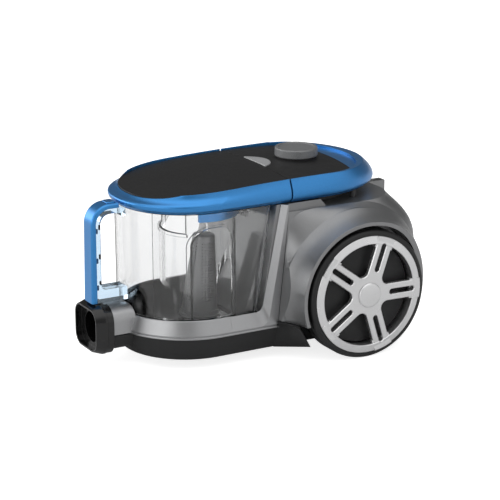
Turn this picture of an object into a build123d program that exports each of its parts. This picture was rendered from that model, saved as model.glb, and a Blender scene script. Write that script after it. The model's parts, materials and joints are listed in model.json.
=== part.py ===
from build123d import *
from math import cos, sin, radians, sqrt
import os

# Canister vacuum cleaner on two large wheels and a front caster.
# Frame: front (hose port) towards -X, rear towards +X, Z up, floor at z = 0.

# ---------------------------------------------------------------- dimensions
FX = -73.0           # centre of the front half-round, in x
RING_HALF = 88.0     # half width of the blue ring at its widest
RING_BOTTOM = 184.3  # lower edge of the blue ring
CREST_X, CREST_Z = 67.2, 211.7     # highest point of the ring's bowed crest
CREST_BOW = 5000.0   # the crest falls by the square of the distance from there, over this
CREST_HALF = 83.7    # half width of the crest
LIP = 2.2            # width of the lip round the sunk top panel
DECK_X, DECK_Z = 28.3, 213.6       # highest point of the crowned top panel
DECK_BOW = 2268.0    # its fall along the machine, as for the crest
DECK_CROWN = 772.0   # its radius across the machine
PANEL_T = 2.4        # thickness of the top panel
RING_RX = 64.0       # where the straight sides end and the rear ellipse starts
RING_A = 103.0       # length of the rear half ellipse
SPLIT_F = 16.4       # lid ring ends here
SPLIT_R = 18.4       # rear ring starts here

WHEEL_X, WHEEL_Z, WHEEL_R = 94.0, 76.0, 76.0
TYRE_IN, TYRE_OUT = 101.5, 131.0   # |y| of the tyre's faces
ARCH_R = 81.0        # wheel well radius
AXLE_R = 4.0

PORT_Z = 47.0        # centre height of the hose port
PORT_FRONT = -201.4
BORE_R = 18.0        # hose socket radius

CUP_TOP_R, CUP_MID_R, CUP_FOOT_R = 81.5, 80.7, 78.6
CUP_FLOOR, CUP_STEP, CUP_RIM = 35.2, 62.0, 183.6
CUP_REAR_LOW, CUP_REAR_HIGH = -23.0, -1.0
CUP_WALL = 2.4

HANDLE_FRONT = -196.3
HANDLE_TOP = 190.3
CROWN_X, CROWN_Z = -173.2, 167.2   # centre of the handle's rounded corner
GRIP_HALF = 11.5

DIAL_X, DIAL_R = 74.0, 25.5
MOTOR_Y, MOTOR_Z = -32.0, 104.0
REEL_X, REEL_Z = 113.0, 106.0
CASTER_X = -96.0
PARK_REAR, PARK_TOP = 195.5, 170.5   # rear face and top of the parking bracket

os.makedirs("parts", exist_ok=True)


# ---------------------------------------------------------------- profiles
def tilted(z0, k):
    """Plane through (0, 0, z0) that rises k per mm towards +X."""
    return Plane(origin=(0, 0, z0), x_dir=(1, 0, k), z_dir=(-k, 0, 1))


def ring_sketch(plane, d, mode=Mode.ADD):
    """Outline of the blue ring, inset by d: half-round front, half ellipse rear."""
    r, a = RING_HALF - d, RING_A - d
    rear = [(RING_RX + a * cos(radians(t)), r * sin(radians(t)))
            for t in (-90, -72, -54, -36, -18, 0, 18, 36, 54, 72, 90)]
    with BuildSketch(plane) as sk:
        with BuildLine():
            ThreePointArc((FX, r), (FX - r, 0), (FX, -r))
            Line((FX, -r), (RING_RX, -r))
            Spline(*rear, tangents=((1, 0), (-1, 0)))
            Line((RING_RX, r), (FX, r))
        make_face()
    return sk.sketch


def oval_ends(w, front, rear, xf, xr, q=0.877):
    """Points along the two ends of a long oval with straight sides at +-w between xf and xr; q sets the front's fullness."""
    a, b = xf - front, rear - xr
    nose = [(xf - a * cos(radians(t)) ** q, w * sin(radians(t)) ** q) for t in (84, 77, 69, 60, 50, 40, 30, 20, 10)]
    nose = [(xf, w)] + nose + [(front, 0)] + [(x, -y) for x, y in reversed(nose)] + [(xf, -w)]
    tail = [(xr + b * cos(radians(t)), w * sin(radians(t))) for t in (-81, -72, -60, -45, -30, -15, 0, 15, 30, 45, 60, 72, 81)]
    tail = [(xr, -w)] + tail + [(xr, w)]
    return nose, tail


def oval_sketch(plane, w, front, rear, xf=-52.5, xr=72.7, q=0.877):
    nose, tail = oval_ends(w, front, rear, xf, xr, q)
    with BuildSketch(plane) as sk:
        with BuildLine():
            Spline(*nose, tangents=((-1, 0), (1, 0)))
            Line((xf, -w), (xr, -w))
            Spline(*tail, tangents=((1, 0), (-1, 0)))
            Line((xr, w), (xf, w))
        make_face()
    return sk.sketch


def skirt_sketch(plane, d):
    """Lower outline of the ring, inset by d, close to ring_sketch but with its sides drawn like the crest."""
    return oval_sketch(plane, RING_HALF - d, FX - RING_HALF + d, RING_RX + RING_A - d, -66.0, RING_RX, 0.952)


def lip_sketch(plane, e=0.0):
    """Inside of the ring's lip, inset by e."""
    return oval_sketch(plane, CREST_HALF - LIP - e, -147.8 + e, 140.0 - e)


def panel_sketch(plane, e):
    """Outline of the black top panel, inset by e: it fills the lip up to a bowed rear edge."""
    w = CREST_HALF - LIP - e
    nose, tail = oval_ends(w, -147.8 + e, 140.0 - e, -52.5, 72.7)
    with BuildSketch(plane) as sk:
        with BuildLine():
            Spline(*nose, tangents=((-1, 0), (1, 0)))
            Line((-52.5, -w), (72.7, -w))
            Spline(*tail, tangents=((1, 0), (-1, 0)))
            Line((72.7, w), (-52.5, w))
        make_face()
        with BuildLine():
            ThreePointArc((103.8 - e, -95), (114.7 - e, 0), (103.8 - e, 95))
            Polyline((103.8 - e, 95), (160, 95), (160, -95), (103.8 - e, -95))
        make_face(mode=Mode.SUBTRACT)
    return sk.sketch


def crest_z(x):
    """Height of the ring's bowed crest at x."""
    return CREST_Z - (x - CREST_X) ** 2 / CREST_BOW


def deck_z(x):
    """Height of the crowned top at x, on the middle line."""
    return DECK_Z - (x - DECK_X) ** 2 / DECK_BOW


def d_sketch(plane, r, xr, rr, xc=FX):
    """Half-round front of radius r, straight sides, rear end at xr with corner radius rr."""
    q = rr * (1 - sqrt(0.5))
    with BuildSketch(plane) as sk:
        with BuildLine():
            ThreePointArc((xc, r), (xc - r, 0), (xc, -r))
            Line((xc, -r), (xr - rr, -r))
            ThreePointArc((xr - rr, -r), (xr - q, -r + q), (xr, -r + rr))
            Line((xr, -r + rr), (xr, r - rr))
            ThreePointArc((xr, r - rr), (xr - q, r - q), (xr - rr, r))
            Line((xr - rr, r), (xc, r))
        make_face()
    return sk.sketch


def tail_sketch(plane, hw, xr, rr, xf=-30.0):
    """Rear body section: square front at xf, rear end at xr with corner radius rr."""
    q = rr * (1 - sqrt(0.5))
    with BuildSketch(plane) as sk:
        with BuildLine():
            Line((xf, hw), (xf, -hw))
            Line((xf, -hw), (xr - rr, -hw))
            ThreePointArc((xr - rr, -hw), (xr - q, -hw + q), (xr, -hw + rr))
            Line((xr, -hw + rr), (xr, hw - rr))
            ThreePointArc((xr, hw - rr), (xr - q, hw - q), (xr - rr, hw))
            Line((xr - rr, hw), (xf, hw))
        make_face()
    return sk.sketch


def poly_sketch(plane, points):
    with BuildSketch(plane) as sk:
        with BuildLine():
            Polyline(*points, close=True)
        make_face()
    return sk.sketch


def cup_rear(z):
    """x of the cup's slanted rear wall at height z."""
    return CUP_REAR_LOW + (CUP_REAR_HIGH - CUP_REAR_LOW) * (z - 34.0) / 149.6


def x_plane(x):
    """Plane across the machine at x, local axes Y and Z, normal +X."""
    return Plane(origin=(x, 0, 0), x_dir=(0, 1, 0), z_dir=(1, 0, 0))


WHEEL_AXIS = Axis((WHEEL_X, 0, WHEEL_Z), (0, 1, 0))

# ---------------------------------------------------------------- base pan
with BuildPart() as base_pan:
    loft([d_sketch(Plane.XY.offset(12.4), 77.5, 178, 40),
          d_sketch(Plane.XY.offset(40.0), 86.8, 197.5, 44)], ruled=True)
    fillet(base_pan.faces().sort_by(Axis.Z)[0].edges(), 5)
    # lower half of the hose neck
    with BuildSketch(x_plane(-180.5)):
        with Locations((0, PORT_Z)):
            RectangleRounded(53, 52, 16)
    extrude(amount=70)
    split(bisect_by=Plane.XY.offset(41.0), keep=Keep.BOTTOM)
    # skirts under the front ends of the wheel arches
    loft([poly_sketch(Plane.XY.offset(13.0), [(-4, -68), (0, -78.2), (36, -100), (48, -68)]),
          poly_sketch(Plane.XY.offset(48.0), [(-4, -68), (-3, -88), (6, -126), (30, -68)])], ruled=True)
    loft([poly_sketch(Plane.XY.offset(13.0), [(-4, 68), (0, 78.2), (36, 100), (48, 68)]),
          poly_sketch(Plane.XY.offset(48.0), [(-4, 68), (-3, 88), (6, 126), (30, 68)])], ruled=True)
    with BuildSketch(Plane.XY.offset(40.0)):
        Rectangle(800, 2 * 90.0)
    extrude(amount=20, mode=Mode.SUBTRACT)
    for s in (1, -1):
        with BuildSketch(Plane.XZ.offset(s * 93.0)):
            with Locations((WHEEL_X, WHEEL_Z)):
                Circle(ARCH_R - 0.4)
        extrude(amount=s * 60, mode=Mode.SUBTRACT)
    # hollow inside
    loft([d_sketch(Plane.XY.offset(15.0), 74.6, 175.5, 38),
          d_sketch(Plane.XY.offset(40.2), 83.8, 194.5, 42)], ruled=True, mode=Mode.SUBTRACT)
    # seat for the tray under the cup
    extrude(d_sketch(Plane.XY.offset(31.8), 82.0, -19.0, 9), amount=12, mode=Mode.SUBTRACT)
    # duct through the neck
    with BuildSketch(x_plane(-181)):
        with Locations((0, PORT_Z)):
            Circle(20.8)
    extrude(amount=40, mode=Mode.SUBTRACT)
    # caster pocket with pivot hole
    with BuildSketch(Plane.XY.offset(12.6)):
        with Locations((CASTER_X, 0)):
            Circle(26.0)
    extrude(amount=19.0)
    with BuildSketch(Plane.XY.offset(10.0)):
        with Locations((CASTER_X, 0)):
            Circle(23.6)
    extrude(amount=19.2, mode=Mode.SUBTRACT)
    with BuildSketch(Plane.XY.offset(28.0)):
        with Locations((CASTER_X, 0)):
            Circle(3.05)
    extrude(amount=6, mode=Mode.SUBTRACT)
    # screw bosses
    with BuildSketch(Plane.XY.offset(14.0)):
        with Locations((30, 66), (30, -66), (120, 66), (120, -66), (160, 50), (160, -50)):
            Circle(5.5)
    extrude(amount=26.0)
    with BuildSketch(Plane.XY.offset(10.0)):
        with Locations((30, 66), (30, -66), (120, 66), (120, -66), (160, 50), (160, -50)):
            Circle(2.1)
    extrude(amount=40, mode=Mode.SUBTRACT)
    with BuildSketch(Plane.XY.offset(10.0)):
        with Locations((30, 66), (30, -66), (120, 66), (120, -66), (160, 50), (160, -50)):
            Circle(4.2)
    extrude(amount=5.4, mode=Mode.SUBTRACT)
base_pan.part.label = "base_pan"
export_step(base_pan.part, "parts/base_pan.step")

# ---------------------------------------------------------------- base screws
with BuildPart() as base_screws:
    with BuildSketch(Plane.XY.offset(12.9)):
        with Locations((30, 66), (30, -66), (120, 66), (120, -66), (160, 50), (160, -50)):
            Circle(3.8)
            RegularPolygon(1.6, 6, mode=Mode.SUBTRACT)
    extrude(amount=1.3)
    with BuildSketch(Plane.XY.offset(14.2)):
        with Locations((30, 66), (30, -66), (120, 66), (120, -66), (160, 50), (160, -50)):
            Circle(3.8)
    extrude(amount=1.2)
    with BuildSketch(Plane.XY.offset(15.4)):
        with Locations((30, 66), (30, -66), (120, 66), (120, -66), (160, 50), (160, -50)):
            Circle(2.0)
    extrude(amount=34.0)
base_screws.part.label = "base_screws"
export_step(base_screws.part, "parts/base_screws.step")

# ---------------------------------------------------------------- silver cradle frame
FRAME_IN = 82.2
frame_section = [(FRAME_IN, 40.2), (88.8, 40.2), (89.1, 41.2), (88.8, 42.4), (87.4, 42.6), (87.4, 43.6),
                 (88.3, 44.0), (83.6, 60.5), (83.0, 61.0), (FRAME_IN, 61.0)]
with BuildPart() as cradle_frame:
    # half-round front
    with BuildSketch(Plane(origin=(FX, 0, 0), x_dir=(0, 1, 0), z_dir=(1, 0, 0))):
        with BuildLine():
            Polyline(*frame_section, close=True)
        make_face()
    revolve(axis=Axis((FX, 0, 0), (0, 0, 1)), revolution_arc=180)
    # straight sides
    for s in (1, -1):
        with BuildSketch(x_plane(FX)):
            with BuildLine():
                Polyline(*[(s * y, z) for y, z in frame_section], close=True)
            make_face()
        extrude(amount=71.0)
    # side pillars with a bevelled, round-cornered window
    for s in (1, -1):
        with BuildSketch(Plane.XZ.offset(s * FRAME_IN)):
            with BuildLine():
                Polyline((-40, 44.0), (2.0, 44.0), (13.4, 183.0), (-40, 183.0), close=True)
            make_face()
        extrude(amount=s * 6.0)
    for s in (1, -1):
        with BuildSketch(Plane.XZ.offset(s * (FRAME_IN - 0.2))):
            with BuildLine():
                Polyline((-60, 61.0), (-19.0, 61.0), (6.0, 186.0), (-60, 186.0), close=True)
            make_face()
            fillet(vertices().sort_by(Axis.Y)[0:2].sort_by(Axis.X)[-1], 9)
        with BuildSketch(Plane.XZ.offset(s * 88.32)):
            with BuildLine():
                Polyline((-60, 44.0), (-13.6, 44.0), (12.3, 186.0), (-60, 186.0), close=True)
            make_face()
            fillet(vertices().sort_by(Axis.Y)[0:2].sort_by(Axis.X)[-1], 12)
        loft(ruled=True, mode=Mode.SUBTRACT)
    # slanted rear cut of the frame
    extrude(poly_sketch(Plane.XZ.offset(-120), [(-1.6, 39.0), (-1.35, 42.0), (13.5, 184.0), (60, 184.0), (60, 39.0)]),
            amount=240, mode=Mode.SUBTRACT)
    # upper half of the hose neck
    with BuildSketch(x_plane(-180.5)):
        with Locations((0, PORT_Z)):
            RectangleRounded(53, 52, 16)
        with Locations((0, 20.0)):
            Rectangle(80, 42.4, mode=Mode.SUBTRACT)
    extrude(amount=46)
    with BuildSketch(Plane.XY.offset(39.0)):
        with Locations((FX, 0)):
            Circle(FRAME_IN)
        with Locations((FX + 60, 0)):
            Rectangle(120, 2 * FRAME_IN)
    extrude(amount=60, mode=Mode.SUBTRACT)
    with BuildSketch(x_plane(-181)):
        with Locations((0, PORT_Z)):
            Circle(20.8)
    extrude(amount=40, mode=Mode.SUBTRACT)
cradle_frame.part.label = "cradle_frame"
export_step(cradle_frame.part, "parts/cradle_frame.step")

# ---------------------------------------------------------------- black tray under the cup
with BuildPart() as tray_liner:
    extrude(d_sketch(Plane.XY.offset(32.0), 81.8, -20.6, 9),
            amount=28.2)
    extrude(d_sketch(Plane.XY.offset(34.4), 79.3, 0, 9),
            amount=40, mode=Mode.SUBTRACT)
    with BuildSketch(x_plane(-181)):
        with Locations((0, PORT_Z)):
            Circle(20.8)
    extrude(amount=60, mode=Mode.SUBTRACT)
    # follow the slanted wall behind the cup
    extrude(poly_sketch(Plane.XZ.offset(-120), [(cup_rear(31) + 1.2, 31), (cup_rear(70) + 1.2, 70), (40, 70), (40, 31)]),
            amount=240, mode=Mode.SUBTRACT)
tray_liner.part.label = "tray_liner"
export_step(tray_liner.part, "parts/tray_liner.step")

# ---------------------------------------------------------------- hose port
with BuildPart() as hose_port:
    # mouth that widens to a flange
    with BuildSketch(x_plane(PORT_FRONT)):
        with Locations((0, PORT_Z)):
            RectangleRounded(57, 49.5, 14)
    with BuildSketch(x_plane(-190.6)):
        with Locations((0, PORT_Z)):
            RectangleRounded(65.5, 57.5, 19)
    loft()
    with BuildSketch(x_plane(-190.6)):
        with Locations((0, PORT_Z)):
            RectangleRounded(65.5, 57.5, 19)
    extrude(amount=2.6)
    with BuildSketch(x_plane(-191.0)):
        with Locations((0, PORT_Z)):
            Circle(20.5)
    extrude(amount=34.5)
    with BuildSketch(x_plane(PORT_FRONT - 1)):
        with Locations((0, PORT_Z)):
            RectangleRounded(53.5, 46.0, 12.2)
    extrude(amount=-194.0 - PORT_FRONT + 1, mode=Mode.SUBTRACT)
    with BuildSketch(x_plane(PORT_FRONT - 1)):
        with Locations((0, PORT_Z)):
            Circle(BORE_R)
    extrude(amount=60.0, mode=Mode.SUBTRACT)
    # seat for the foot of the handle
    with BuildSketch(Plane.XY.offset(71.6)):
        with Locations((-189.4, 0)):
            Rectangle(8.0, 26.0)
    extrude(amount=10, mode=Mode.SUBTRACT)
hose_port.part.label = "hose_port"
export_step(hose_port.part, "parts/hose_port.step")

with BuildPart() as port_collar:
    with BuildSketch(x_plane(-187.9)):
        with Locations((0, PORT_Z)):
            RectangleRounded(64.5, 56.5, 18.5)
            Circle(20.55, mode=Mode.SUBTRACT)
    extrude(amount=7.3)
    with BuildSketch(Plane.XY.offset(70.4)):
        with Locations((-186.0, 0)):
            Rectangle(16.0, 26.0)
    extrude(amount=10, mode=Mode.SUBTRACT)
port_collar.part.label = "port_collar"
export_step(port_collar.part, "parts/port_collar.step")

with BuildPart() as inlet_seal:
    with BuildSketch(x_plane(-156.4)):
        with Locations((0, PORT_Z)):
            Circle(20.4)
            Circle(17.4, mode=Mode.SUBTRACT)
    extrude(amount=4.2)
    with BuildSketch(Plane.XY.offset(20)):
        with Locations((FX, 0)):
            Circle(81.3)
    extrude(amount=60, mode=Mode.SUBTRACT)
inlet_seal.part.label = "inlet_seal"
export_step(inlet_seal.part, "parts/inlet_seal.step")

# ---------------------------------------------------------------- clear dust cup
with BuildPart() as dust_cup:
    loft([d_sketch(Plane.XY.offset(CUP_STEP), CUP_MID_R, cup_rear(CUP_STEP), 12),
          d_sketch(Plane.XY.offset(CUP_RIM), CUP_TOP_R, cup_rear(CUP_RIM), 12)], ruled=True)
    loft([d_sketch(Plane.XY.offset(CUP_FLOOR), CUP_FOOT_R, cup_rear(CUP_FLOOR), 11),
          d_sketch(Plane.XY.offset(CUP_STEP), CUP_FOOT_R, cup_rear(CUP_STEP), 11)], ruled=True)
    # inside
    loft([d_sketch(Plane.XY.offset(CUP_FLOOR + 2.2), CUP_FOOT_R - CUP_WALL, cup_rear(CUP_FLOOR + 2.2) - CUP_WALL, 9),
          d_sketch(Plane.XY.offset(CUP_STEP), CUP_FOOT_R - CUP_WALL, cup_rear(CUP_STEP) - CUP_WALL, 9),
          d_sketch(Plane.XY.offset(CUP_RIM + 0.1), CUP_TOP_R - CUP_WALL, cup_rear(CUP_RIM + 0.1) - CUP_WALL, 9)], ruled=True, mode=Mode.SUBTRACT)
    # inlet at the front, outlet notch at the rear rim
    with BuildSketch(x_plane(-170)):
        with Locations((0, PORT_Z + 3.0)):
            SlotOverall(26, 21, rotation=0)
    extrude(amount=40, mode=Mode.SUBTRACT)
    with BuildSketch(x_plane(-30)):
        with Locations((0, 170.0)):
            RectangleRounded(42, 18, 4)
    extrude(amount=60, mode=Mode.SUBTRACT)
dust_cup.part.label = "dust_cup"
export_step(dust_cup.part, "parts/dust_cup.step")

# ---------------------------------------------------------------- handle
def crown_arc(r):
    """Start, middle and end of the quarter circle of radius r over the handle's corner, from the top to the front."""
    k = r * sqrt(0.5)
    return (CROWN_X, CROWN_Z + r), (CROWN_X - k, CROWN_Z + k), (CROWN_X - r, CROWN_Z)


with BuildPart() as handle_frame:
    with BuildSketch(Plane.XZ.offset(-10.4)):
        with BuildLine():
            Polyline((-150, 174.5), (-150, 183.2), (-161.6, 183.2), (-161.6, 185.0), (CROWN_X, 185.0))
            ThreePointArc(*crown_arc(17.8))
            Polyline((-191.0, CROWN_Z), (-191.0, 76.6), (-150, 76.6), (-150, 91.5), (-179.5, 91.5))
            ThreePointArc((-179.5, 91.5), (-179.5 - 5.5 * sqrt(0.5), 97 - 5.5 * sqrt(0.5)), (-185.0, 97.0))
            Line((-185.0, 97.0), (-185.0, CROWN_Z))
            ThreePointArc(*reversed(crown_arc(11.8)))
            Polyline((CROWN_X, 179.0), (-166, 179.0), (-158, 174.5), (-150, 174.5))
        make_face()
    extrude(amount=20.8)
    # foot to the cup's front wall
    loft([d_sketch(Plane.XY.offset(CUP_STEP), CUP_MID_R + 0.02, cup_rear(CUP_STEP), 12),
          d_sketch(Plane.XY.offset(CUP_RIM), CUP_TOP_R + 0.02, cup_rear(CUP_RIM), 12)], ruled=True, mode=Mode.SUBTRACT)
handle_frame.part.label = "handle_frame"
export_step(handle_frame.part, "parts/handle_frame.step")

with BuildPart() as handle_grip:
    with BuildSketch(Plane.XZ.offset(-GRIP_HALF)):
        with BuildLine():
            Line((-162.2, 185.0), (-162.2, HANDLE_TOP))
            Line((-162.2, HANDLE_TOP), (CROWN_X, HANDLE_TOP))
            ThreePointArc(*crown_arc(23.1))
            Line((HANDLE_FRONT, CROWN_Z), (HANDLE_FRONT - 1.2, 76.6))
            Line((HANDLE_FRONT - 1.2, 76.6), (-191.0, 76.6))
            Line((-191.0, 76.6), (-191.0, CROWN_Z))
            ThreePointArc(*reversed(crown_arc(17.8)))
            Line((CROWN_X, 185.0), (-162.2, 185.0))
        make_face()
    extrude(amount=2 * GRIP_HALF)
    outer_long = [e for e in handle_grip.edges()
                  if abs(abs(e.center().Y) - GRIP_HALF) < 0.01 and e.length > 8
                  and (e.center().X < HANDLE_FRONT + 0.1 or e.center().Z > HANDLE_TOP - 8)
                  and e.center().X < -164 and not (abs(e.center().Z - 185.0) < 0.1)]
    outer_long = [e for e in outer_long if not (-190 < e.center().X < -176 and
                  (e.center() - Vector(CROWN_X, e.center().Y, CROWN_Z)).length < 20.0)]
    fillet(outer_long, 3.0)
    # well for the release button
    with BuildSketch(Plane.XY.offset(185.2)):
        with Locations((-169.6, 0)):
            RectangleRounded(11.8, 14.8, 2.9)
    extrude(amount=10, mode=Mode.SUBTRACT)
handle_grip.part.label = "handle_grip"
export_step(handle_grip.part, "parts/handle_grip.step")

with BuildPart() as release_button:
    with BuildSketch(Plane.XY.offset(186.9)):
        with Locations((-169.6, 0)):
            RectangleRounded(11.0, 14.0, 2.5)
    extrude(amount=4.8)
    fillet(release_button.faces().sort_by(Axis.Z)[-1].edges(), 1.0)
release_button.part.label = "release_button"
export_step(release_button.part, "parts/release_button.step")

with BuildPart() as grip_clips:
    for s in (1, -1):
        with BuildSketch(Plane.XZ.offset(s * 10.4)):
            with Locations((-189.7, 161.0), (-189.7, 126.5), (-189.7, 95.0)):
                RectangleRounded(2.2, 6.0, 0.8)
        extrude(amount=s * 0.7)
grip_clips.part.label = "grip_clips"
export_step(grip_clips.part, "parts/grip_clips.step")

# ---------------------------------------------------------------- inside the cup
TUBE_X, TUBE_R = -58.0, 44.0
TUBE_TOP, TUBE_FRONT_TOP = 182.4, 148.5


def arch_sketch(half, top, r, low):
    """Upright arch with rounded shoulders, on the machine's middle plane."""
    q = r * (1 - sqrt(0.5))
    with BuildSketch(Plane.XZ.offset(-60)) as sk:
        with BuildLine():
            Line((TUBE_X - half, low), (TUBE_X + half, low))
            Line((TUBE_X + half, low), (TUBE_X + half, top - r))
            ThreePointArc((TUBE_X + half, top - r), (TUBE_X + half - q, top - q), (TUBE_X + half - r, top))
            Line((TUBE_X + half - r, top), (TUBE_X - half + r, top))
            ThreePointArc((TUBE_X - half + r, top), (TUBE_X - half + q, top - q), (TUBE_X - half, top - r))
            Line((TUBE_X - half, top - r), (TUBE_X - half, low))
        make_face()
    return sk.sketch


with BuildPart() as arch_frames:
    # raised frames round the two windows
    with BuildSketch(Plane.XY.offset(CUP_FLOOR + 2.25)):
        with Locations((TUBE_X, 0)):
            Circle(TUBE_R + 1.8)
            Circle(TUBE_R - 2.2, mode=Mode.SUBTRACT)
    extrude(amount=125.0)
    extrude(arch_sketch(31.0, 158.0, 26.0, 20.0), amount=120, mode=Mode.INTERSECT)

with BuildPart() as cyclone_tube:
    floor_z = CUP_FLOOR + 2.25
    with BuildSketch(Plane.XY.offset(floor_z)):
        with Locations((TUBE_X, 0)):
            Circle(TUBE_R)
            Circle(TUBE_R - 2.2, mode=Mode.SUBTRACT)
    extrude(amount=TUBE_TOP - floor_z)
    # the front is lower and has a flared rim
    with BuildSketch(Plane.XY.offset(TUBE_FRONT_TOP)):
        with Locations((TUBE_X - 30.3 - 40, 0)):
            Rectangle(80, 120)
    extrude(amount=60, mode=Mode.SUBTRACT)
    with BuildSketch(Plane.XY.offset(TUBE_FRONT_TOP - 3.5)):
        with Locations((TUBE_X, 0)):
            Circle(TUBE_R + 1.8)
            Circle(TUBE_R - 2.2, mode=Mode.SUBTRACT)
        with Locations((TUBE_X - 30.3 + 60, 0)):
            Rectangle(120, 120, mode=Mode.SUBTRACT)
    extrude(amount=3.5)
    add(arch_frames.part)
    # foot ring
    with BuildSketch(Plane.XY.offset(floor_z)):
        with Locations((TUBE_X, 0)):
            Circle(TUBE_R + 3.0)
            Circle(TUBE_R - 2.2, mode=Mode.SUBTRACT)
    extrude(amount=4.0)
    # guide fin towards the front
    fin_dir = Vector(cos(radians(121)), sin(radians(121)), 0)
    with BuildSketch(Plane(origin=Vector(TUBE_X, 0, floor_z) + fin_dir * 52.0, x_dir=fin_dir, z_dir=(0, 0, 1))):
        Rectangle(19.0, 2.2)
    extrude(amount=TUBE_TOP - floor_z)
    # arched windows on both sides
    extrude(arch_sketch(26.0, 155.5, 22.5, 47.0), amount=120, mode=Mode.SUBTRACT)
    # way out at the top of the rear
    with BuildSketch(x_plane(-40)):
        with Locations((0, 175)):
            Rectangle(38, 30)
    extrude(amount=60, mode=Mode.SUBTRACT)
    # open towards the cup's slanted rear wall
    extrude(poly_sketch(Plane.XZ.offset(-80), [(cup_rear(30) - 3.0, 30), (cup_rear(190) - 3.0, 190), (60, 190), (60, 30)]),
            amount=160, mode=Mode.SUBTRACT)
cyclone_tube.part.label = "cyclone_tube"
export_step(cyclone_tube.part, "parts/cyclone_tube.step")

CONE_AXIS = Vector(0.068, 0, 0.99769)
cone_plane = Plane(origin=(-56.0, 0, CUP_FLOOR + 2.4 + 2.2), x_dir=(0.99769, 0, -0.068), z_dir=CONE_AXIS)
with BuildPart() as filter_base_ring:
    with BuildSketch(cone_plane):
        Circle(24.0)
    extrude(amount=3.0)
    with BuildSketch(cone_plane.offset(3.0)):
        Circle(21.6)
    extrude(amount=5.0)
    with BuildSketch(cone_plane.offset(3.0)):
        Circle(17.6)
    extrude(amount=8.0, mode=Mode.SUBTRACT)
filter_base_ring.part.label = "filter_base_ring"
export_step(filter_base_ring.part, "parts/filter_base_ring.step")

with BuildPart() as filter_cone:
    with BuildSketch(cone_plane.offset(8.05)):
        Circle(20.8)
    with BuildSketch(cone_plane.offset(96.0)):
        Circle(12.8)
    loft(ruled=True)
    with BuildSketch(cone_plane.offset(8.0)):
        Circle(19.2)
    with BuildSketch(cone_plane.offset(94.2)):
        Circle(11.4)
    loft(ruled=True, mode=Mode.SUBTRACT)
    fillet(filter_cone.faces().sort_by(Axis.Z)[-1].edges(), 1.6)
filter_cone.part.label = "filter_cone"
export_step(filter_cone.part, "parts/filter_cone.step")

# ---------------------------------------------------------------- blue ring
with BuildPart() as above_crest:
    # space over the ring's bowed crest
    with BuildSketch(Plane.XZ.offset(-130)):
        with BuildLine():
            Spline(*[(x, crest_z(x)) for x in (-230, -170, -110, -50, 10, 70, 130, 180, 230)])
            Polyline((230, crest_z(230)), (230, 260), (-230, 260), (-230, crest_z(-230)))
        make_face()
    extrude(amount=260)

with BuildPart() as above_deck:
    # space over the crowned top, drawn below the axis so that its seam stays clear of the machine
    deck_axis_z = DECK_Z - DECK_CROWN
    with BuildSketch(Plane.XZ):
        with BuildLine():
            Spline(*[(x, 2 * deck_axis_z - deck_z(x)) for x in (-230, -170, -110, -50, 10, 70, 130, 180, 230)])
            Polyline((230, 2 * deck_axis_z - deck_z(230)), (230, 2 * deck_axis_z - 260), (-230, 2 * deck_axis_z - 260),
                     (-230, 2 * deck_axis_z - deck_z(-230)))
        make_face()
    revolve(axis=Axis((0, 0, deck_axis_z), (1, 0, 0)))


def over_deck(depth):
    """Space over the crowned top, lowered by depth."""
    return above_deck.part.moved(Location((0, 0, -depth)))


with BuildPart() as deck_recess:
    # inside of the lip, down to the crowned top
    extrude(lip_sketch(Plane.XY.offset(185)), amount=40)
    add(over_deck(0.0), mode=Mode.INTERSECT)

with BuildPart() as panel_pocket:
    extrude(panel_sketch(Plane.XY.offset(185), 0.0), amount=40)
    add(over_deck(PANEL_T + 0.05), mode=Mode.INTERSECT)

with BuildPart() as ring_hollow:
    loft([skirt_sketch(Plane.XY.offset(RING_BOTTOM - 0.1), 8.3),
          skirt_sketch(Plane.XY.offset(188.6), 4.8),
          oval_sketch(tilted(197.6, 0.026), 83.6, -152.4, 153.0, -59.0, 68.0, 0.91),
          oval_sketch(tilted(212.0, 0.0287), 79.6, -139.0, 128.0)], ruled=True)
    add(over_deck(PANEL_T + 2.0), mode=Mode.SUBTRACT)


def ring_solid():
    """Ring with a tall outer face, a sunk top inside its lip and a hollow underside."""
    loft([skirt_sketch(Plane.XY.offset(188.5), 0.9),
          skirt_sketch(Plane.XY.offset(192.0), 0.0),
          oval_sketch(tilted(199.4, 0.028), 87.2, -157.0, 159.5, -59.0, 68.0, 0.91),
          oval_sketch(tilted(212.3, 0.0287), 83.2, -143.5, 133.0)])
    loft([skirt_sketch(Plane.XY.offset(RING_BOTTOM), 6.0),
          skirt_sketch(Plane.XY.offset(188.5), 1.9)], ruled=True)
    add(above_crest.part, mode=Mode.SUBTRACT)
    add(ring_hollow.part, mode=Mode.SUBTRACT)
    add(deck_recess.part, mode=Mode.SUBTRACT)
    add(panel_pocket.part, mode=Mode.SUBTRACT)
    extrude(panel_sketch(Plane.XY.offset(180), 4.5), amount=60, mode=Mode.SUBTRACT)


def panel_solid():
    """Gently crowned plate that fills the ring's pocket."""
    extrude(panel_sketch(Plane.XY.offset(185), 0.25), amount=40)
    add(over_deck(PANEL_T), mode=Mode.INTERSECT)
    add(over_deck(0.0), mode=Mode.SUBTRACT)


with BuildPart() as lid_ring:
    ring_solid()
    split(bisect_by=Plane.YZ.offset(SPLIT_F), keep=Keep.BOTTOM)
lid_ring.part.label = "lid_ring"
export_step(lid_ring.part, "parts/lid_ring.step")

with BuildPart() as rear_ring:
    ring_solid()
    split(bisect_by=Plane.YZ.offset(SPLIT_R), keep=Keep.TOP)
rear_ring.part.label = "rear_ring"
export_step(rear_ring.part, "parts/rear_ring.step")

with BuildPart() as lid_panel:
    panel_solid()
    split(bisect_by=Plane.YZ.offset(SPLIT_F + 0.6), keep=Keep.BOTTOM)
lid_panel.part.label = "lid_panel"
export_step(lid_panel.part, "parts/lid_panel.step")


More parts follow.
